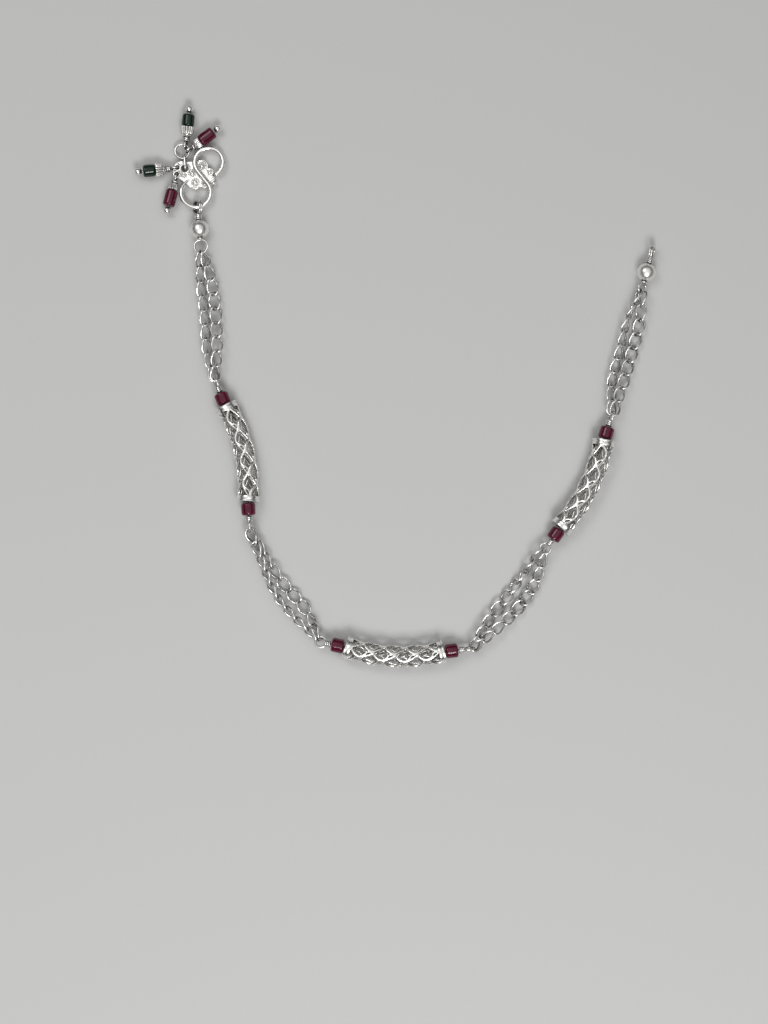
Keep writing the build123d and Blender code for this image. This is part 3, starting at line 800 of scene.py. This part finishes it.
def worked_silver(name, shelter, reach, grain, roughness, bump):
    """Silver with its own values of the shared group."""
    if name in bpy.data.materials:
        return bpy.data.materials[name]
    finish = bpy.context.scene.payal_finish
    material = bpy.data.materials.new(name)
    material.use_nodes = True
    nodes, links = material.node_tree.nodes, material.node_tree.links
    shader = nodes["Principled BSDF"]
    shader.inputs["Metallic"].default_value = 1.0
    group = nodes.new("ShaderNodeGroup")
    group.node_tree = painted_shade_group()
    group.inputs["Clean"].default_value = (*finish.silver, 1)
    # The dark colour painted into sheltered places as shade.
    group.inputs["Tarnish"].default_value = (*finish.recess_shade, 1)
    group.inputs["Shelter"].default_value = shelter
    group.inputs["Reach"].default_value = reach * MM
    group.inputs["Grain"].default_value = grain
    group.inputs["Roughness"].default_value = roughness
    links.new(group.outputs["Color"], shader.inputs["Base Color"])
    links.new(group.outputs["Roughness"], shader.inputs["Roughness"])
    height = nodes.new("ShaderNodeBump")
    height.inputs["Strength"].default_value = 0.6
    height.inputs["Distance"].default_value = bump * MM
    links.new(group.outputs["Height"], height.inputs["Height"])
    links.new(height.outputs["Normal"], shader.inputs["Normal"])
    return material


# Each finish sets how open a place must be to stay clear of the painted shade (shelter) and how far the
# occlusion looks (reach).
def cast_silver():
    return worked_silver("Cast silver", shelter=0.82, reach=3.0, grain=1500, roughness=0.12, bump=0.03)


def granulated_silver():
    return worked_silver("Granulated silver", shelter=0.98, reach=0.9, grain=1500, roughness=0.12, bump=0.02)


def wire_silver():
    return worked_silver("Drawn silver wire", shelter=1.08, reach=3.5, grain=1200, roughness=0.08, bump=0.012)


def ball_silver():
    return worked_silver("Brushed silver ball", shelter=0.6, reach=0.8, grain=2500, roughness=0.2, bump=0.02)


def bead_glass(name, colour):
    """Dark glass with faint waves in its surface."""
    if name in bpy.data.materials:
        return bpy.data.materials[name]
    material = bpy.data.materials.new(name)
    material.use_nodes = True
    nodes, links = material.node_tree.nodes, material.node_tree.links
    shader = nodes["Principled BSDF"]
    shader.inputs["IOR"].default_value = 1.5
    shader.inputs["Transmission Weight"].default_value = 0.3
    place_of = nodes.new("ShaderNodeTexCoord")
    waves = nodes.new("ShaderNodeTexNoise")
    waves.inputs["Scale"].default_value = WAVE_SCALE
    waves.inputs["Detail"].default_value = 2
    links.new(place_of.outputs["Object"], waves.inputs["Vector"])
    depth = nodes.new("ShaderNodeValToRGB")
    depth.color_ramp.elements[0].position = 0.3
    depth.color_ramp.elements[0].color = (*(channel * GLASS_DEPTH for channel in colour), 1)
    depth.color_ramp.elements[1].position = 0.7
    depth.color_ramp.elements[1].color = (*colour, 1)
    links.new(waves.outputs["Fac"], depth.inputs["Fac"])
    links.new(depth.outputs["Color"], shader.inputs["Base Color"])
    gloss = nodes.new("ShaderNodeMapRange")
    gloss.inputs["To Min"].default_value, gloss.inputs["To Max"].default_value = GLASS_ROUGHNESS
    links.new(waves.outputs["Fac"], gloss.inputs["Value"])
    links.new(gloss.outputs["Result"], shader.inputs["Roughness"])
    height = nodes.new("ShaderNodeBump")
    height.inputs["Strength"].default_value = 0.3
    height.inputs["Distance"].default_value = 0.02 * MM
    links.new(waves.outputs["Fac"], height.inputs["Height"])
    links.new(height.outputs["Normal"], shader.inputs["Normal"])
    return material


def dress(piece, material):
    piece.data.materials.clear()
    piece.data.materials.append(material)
    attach(piece, "root")


GREEN_GLASS = ("drop_1_glass", "drop_3_glass")


class PAYAL_OT_finishes(bpy.types.Operator):
    """Gives the chains, wires, balls and glass their finishes"""
    bl_idname = "payal.finishes"
    bl_label = "Silver and glass"

    def execute(self, context):
        finish = context.scene.payal_finish
        for node, piece in frame["nodes"].items():
            if node in GREEN_GLASS:
                made = bead_glass("Green glass", finish.green)
            elif "_bead_" in node or node.endswith("_glass"):
                made = bead_glass("Magenta glass", finish.magenta)
            elif node in ("hook_ball", "end_ball"):
                made = ball_silver()
            else:
                made = wire_silver()
            piece.data.materials.clear()
            piece.data.materials.append(made)
        return {"FINISHED"}


# ---- stage ----
GROUND_SIZE = 8.0         # metres
GROUND_SCALE = 900        # how fine the ground's faint unevenness is
GROUND_DARKER = 0.985     # its darker patches, as a share of its colour
LENS = 50                 # focal length; the sensor is sized to give the view height
LAMPS = [
    # setting, x, y, z, width, height, in metres
    ("key", 0.05, -0.45, 0.55, 0.30, 0.22),
    ("fill", -0.30, 0.25, 0.60, 0.30, 0.30),
]


def plain_material(name, colour):
    """A matt ground, faintly uneven in colour."""
    material = bpy.data.materials.new(name)
    material.use_nodes = True
    nodes, links = material.node_tree.nodes, material.node_tree.links
    shader = nodes["Principled BSDF"]
    shader.inputs["Roughness"].default_value = 0.9
    place_of = nodes.new("ShaderNodeTexCoord")
    cloth = nodes.new("ShaderNodeTexNoise")
    cloth.inputs["Scale"].default_value = GROUND_SCALE
    links.new(place_of.outputs["Object"], cloth.inputs["Vector"])
    tint = nodes.new("ShaderNodeMix")
    tint.data_type = "RGBA"
    tint.inputs["A"].default_value = (*(channel * GROUND_DARKER for channel in colour), 1)
    tint.inputs["B"].default_value = (*colour, 1)
    links.new(cloth.outputs["Fac"], tint.inputs["Factor"])
    links.new(tint.outputs["Result"], shader.inputs["Base Color"])
    return material


def area_light(name, at, aim, size, power):
    deselect_all()
    bpy.ops.object.light_add(type="AREA", location=at)
    lamp = bpy.context.object
    lamp.name = name
    lamp.data.shape = "RECTANGLE"
    lamp.data.size = size[0]
    lamp.data.size_y = size[1]
    lamp.data.energy = power
    lamp.rotation_euler = (Vector(aim) - Vector(at)).to_track_quat("-Z", "Y").to_euler()
    return lamp


SURROUNDINGS = [
    # height above the horizon as a share of straight up, grey
    (0.00, 0.55), (0.08, 0.50), (0.16, 0.05), (0.50, 0.06), (0.74, 0.55), (1.00, 0.78),
]


def studio_world():
    """Pale overhead and at the horizon, with a dark band between that draws the edges of polished metal."""
    world = bpy.data.worlds.new("Studio")
    world.use_nodes = True
    nodes, links = world.node_tree.nodes, world.node_tree.links
    way = nodes.new("ShaderNodeTexCoord")
    parts = nodes.new("ShaderNodeSeparateXYZ")
    links.new(way.outputs["Generated"], parts.inputs["Vector"])
    greys = nodes.new("ShaderNodeValToRGB")
    bands = greys.color_ramp.elements
    while len(bands) < len(SURROUNDINGS):
        bands.new(0.5)
    for band_of, (height, grey) in zip(bands, SURROUNDINGS):
        band_of.position = height
        band_of.color = (grey, grey, grey, 1)
    links.new(parts.outputs["Z"], greys.inputs["Fac"])
    links.new(greys.outputs["Color"], nodes["Background"].inputs["Color"])
    return world


class PAYAL_OT_stage(bpy.types.Operator):
    """Lays the ground and sets the camera, the soft lights and the surroundings"""
    bl_idname = "payal.stage"
    bl_label = "Stage"

    def execute(self, context):
        stage = context.scene.payal_stage
        aim = (Vector(stage.aim) - Vector((*CENTRE, 0))) * MM
        back = Vector((0, -math.cos(stage.elevation), math.sin(stage.elevation)))
        deselect_all()
        bpy.ops.object.camera_add(location=aim + back * stage.distance * MM)
        camera = context.object
        camera.rotation_euler = (-back).to_track_quat("-Z", "Y").to_euler()
        camera.data.lens = LENS
        camera.data.sensor_width = 2 * LENS * math.tan(stage.view_height / 2)
        camera.data.clip_start = 0.01
        context.scene.camera = camera

        bpy.ops.mesh.primitive_plane_add(size=GROUND_SIZE, location=(0, 0, 0))
        ground = context.object
        ground.name = "ground"
        ground.data.materials.append(plain_material("Pale ground", stage.floor))

        for setting, x, y, z, width, height in LAMPS:
            area_light(setting, (x, y, z), aim, (width, height), getattr(stage, setting))
        context.scene.world = studio_world()
        context.scene.view_settings.view_transform = "Standard"
        return {"FINISHED"}


# ---- panel ----
class PAYAL_PT_panel(bpy.types.Panel):
    bl_label = "Payal anklet"
    bl_idname = "PAYAL_PT_panel"
    bl_space_type = "VIEW_3D"
    bl_region_type = "UI"
    bl_category = "Payal"

    def draw(self, context):
        for group, operators in STEPS:
            box = self.layout.box()
            settings = getattr(context.scene, group)
            for name in settings.__annotations__:
                box.prop(settings, name)
            for operator in operators:
                box.operator(operator)


STEPS = [
    ("payal_stage", ("payal.stage",)),
    ("payal_finish", ("payal.finishes",)),
    ("payal_tubes", ("payal.tubes",)),
    ("payal_hook", ("payal.hook",)),
    ("payal_drops", ("payal.caps",)),
]
SETTINGS = {
    "payal_stage": PayalStageSettings,
    "payal_finish": PayalFinishSettings,
    "payal_tubes": PayalTubeSettings,
    "payal_hook": PayalHookSettings,
    "payal_drops": PayalDropSettings,
}
CLASSES = (PAYAL_OT_stage, PAYAL_OT_finishes, PAYAL_OT_tubes, PAYAL_OT_hook, PAYAL_OT_caps, PAYAL_PT_panel)


def register():
    for name, settings in SETTINGS.items():
        bpy.utils.register_class(settings)
        setattr(bpy.types.Scene, name, bpy.props.PointerProperty(type=settings))
    for shown in CLASSES:
        bpy.utils.register_class(shown)


def unregister():
    for shown in reversed(CLASSES):
        bpy.utils.unregister_class(shown)
    for name, settings in SETTINGS.items():
        delattr(bpy.types.Scene, name)
        bpy.utils.unregister_class(settings)


def main():
    register()
    bpy.ops.payal.stage()
    bpy.ops.payal.finishes()
    bpy.ops.payal.tubes()
    bpy.ops.payal.hook()
    bpy.ops.payal.caps()
    bpy.context.view_layer.update()


if __name__ == "__main__":
    main()
